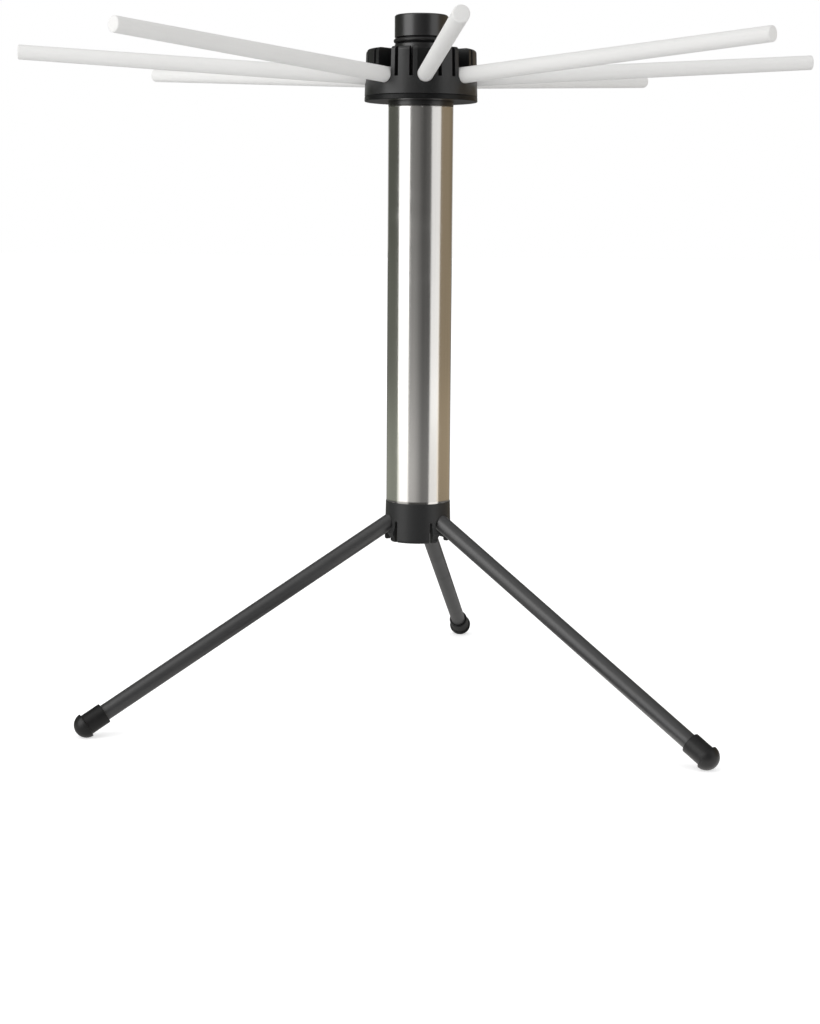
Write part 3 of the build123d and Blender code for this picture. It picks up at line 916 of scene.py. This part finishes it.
def make_floor_white():
    # A pale floor that the camera sees as white, and that still takes the rack's shadow. The lamps reach
    # less of it further out, so it glows more there. Shiny surfaces see a glow of its own instead, with
    # painted light and shade and a painted colour, which is plain white close to the rack.
    material = bpy.data.materials.new("studio floor")
    material.use_nodes = True
    tree = material.node_tree
    tree.nodes.clear()
    leave = add_node(tree, "ShaderNodeOutputMaterial", (900, 0))
    place = add_node(tree, "ShaderNodeTexCoord", (-1100, -250)).outputs["Object"]
    path = add_node(tree, "ShaderNodeLightPath", (-900, 300))
    distance = add_node(tree, "ShaderNodeVectorMath", (-900, -150), operation="LENGTH")
    tree.links.new(place, distance.inputs[0])
    reach = distance.outputs["Value"]
    pointer = add_node(tree, "ShaderNodeVectorMath", (-900, -400), operation="NORMALIZE")
    tree.links.new(place, pointer.inputs[0])
    aim = pointer.outputs["Vector"]
    surface = add_node(tree, "ShaderNodeBsdfDiffuse", (0, 200))
    surface.inputs["Color"].default_value = (FLOOR_COLOUR, FLOOR_COLOUR, FLOOR_COLOUR, 1)
    glow = add_node(tree, "ShaderNodeEmission", (0, 50))
    glow.inputs["Color"].default_value = (1, 1, 1, 1)
    far = spread(tree, (-600, 100), reach, *FLOOR_GLOW, smooth=True)
    seen_glow = number_step(tree, "MULTIPLY", (-200, 100), far, path.outputs["Is Camera Ray"])
    tree.links.new(seen_glow, glow.inputs["Strength"])
    seen = add_node(tree, "ShaderNodeAddShader", (300, 150))
    tree.links.new(surface.outputs[0], seen.inputs[0])
    tree.links.new(glow.outputs[0], seen.inputs[1])
    # Shiny surfaces see the floor as a glow with painted light, shade and colour, not as lamp light
    painted_floor_reflection = add_node(tree, "ShaderNodeEmission", (300, -150))
    away = spread(tree, (-100, -1700), reach, *FLOOR_TINTED, smooth=True)
    tint = blend_colours(tree, (100, -1500), away, ROOM_WHITE, room_colour(tree, aim))
    tree.links.new(tint, painted_floor_reflection.inputs["Color"])
    tree.links.new(painted_floor_light_level(tree, place, reach, aim), painted_floor_reflection.inputs["Strength"])
    both = mix_shaders(tree, (600, 0), shiny_rays(tree, (300, 400), path), seen, painted_floor_reflection)
    tree.links.new(both.outputs[0], leave.inputs["Surface"])
    return material


clear_selection()
bpy.ops.mesh.primitive_plane_add(size=FLOOR_SIZE, location=(0, 0, 0))
floor = name_piece(bpy.context.object, "studio_floor")
finish_with(floor, make_floor_white())


def make_studio_air():
    # White to the camera, even for matt surfaces, and for shiny ones the room's own colour and levels
    world = bpy.context.scene.world or bpy.data.worlds.new("studio air")
    bpy.context.scene.world = world
    world.use_nodes = True
    air = world.node_tree
    air.nodes.clear()
    leave = add_node(air, "ShaderNodeOutputWorld", (900, 0))
    white, shiny, matt = (add_node(air, "ShaderNodeBackground", (0, row)) for row in (200, 0, -200))
    for background, strength in ((white, AIR_FOR_CAMERA), (matt, AIR_FOR_MATT)):
        background.inputs["Color"].default_value = (1, 1, 1, 1)
        background.inputs["Strength"].default_value = strength
    path = add_node(air, "ShaderNodeLightPath", (-300, 500))
    aim = add_node(air, "ShaderNodeTexCoord", (-1100, 0)).outputs["Generated"]
    parts = []
    for row, (direction, bounds, levels) in enumerate(AIR_LEVELS):
        cosine = along(air, (-900, -200 * row), aim, direction)
        parts.append(spread(air, (-650, -200 * row), cosine, bounds, levels, smooth=True))
    level = number_step(air, "ADD", (-400, 100), parts[0], parts[1])
    level = number_step(air, "ADD", (-250, 0), level, parts[2])
    air.links.new(level, shiny.inputs["Strength"])
    air.links.new(room_colour(air, aim), shiny.inputs["Color"])
    unseen = mix_shaders(air, (350, -100), shiny_rays(air, (0, 400), path), matt, shiny)
    whole = mix_shaders(air, (600, 0), path.outputs["Is Camera Ray"], unseen, white)
    air.links.new(whole.outputs[0], leave.inputs["Surface"])


make_studio_air()


def set_camera():
    flat = cos(CAMERA_PITCH)
    ahead = from_view(sin(CAMERA_YAW) * flat, cos(CAMERA_YAW) * flat, sin(CAMERA_PITCH))
    level = from_view(cos(CAMERA_YAW), -sin(CAMERA_YAW), 0)
    right = cos(CAMERA_ROLL) * level + sin(CAMERA_ROLL) * level.cross(ahead)
    top = right.cross(ahead)
    data = bpy.data.cameras.new("camera")
    camera = bpy.data.objects.new("camera", data)
    bpy.context.scene.collection.objects.link(camera)
    turned = Matrix((right, top, -ahead)).transposed().to_4x4()
    camera.matrix_world = Matrix.Translation(from_view(0, -CAMERA_DISTANCE, CAMERA_HEIGHT)) @ turned
    data.sensor_width = CAMERA_SENSOR
    data.lens = CAMERA_FOCAL_SHARE * CAMERA_SENSOR
    data.clip_start = CAMERA_NEAREST
    data.clip_end = CAMERA_FURTHEST
    bpy.context.scene.camera = camera


set_camera()


def softbox(name, place, width, height, power):
    # A soft lamp that faces the middle of the rack
    data = bpy.data.lights.new(name, "AREA")
    data.shape = "RECTANGLE"
    data.size = width
    data.size_y = height
    data.energy = power
    lamp = bpy.data.objects.new(name, data)
    bpy.context.scene.collection.objects.link(lamp)
    lamp.location = place
    lamp.rotation_mode = "QUATERNION"
    lamp.rotation_quaternion = (LAMP_TARGET - place).to_track_quat("-Z", "Y")


softbox("left box", at_angle(LEFT_BOX_TURN, BOX_REACH, BOX_CENTRE), width=1.24, height=BOX_HEIGHT, power=13)
softbox("right box", at_angle(RIGHT_BOX_TURN, BOX_REACH, BOX_CENTRE), width=1.05, height=BOX_HEIGHT, power=5)
softbox("top box", from_view(0, 0.2, 1.7), width=1.6, height=1.3, power=3)

bpy.context.scene.view_settings.view_transform = "Standard"
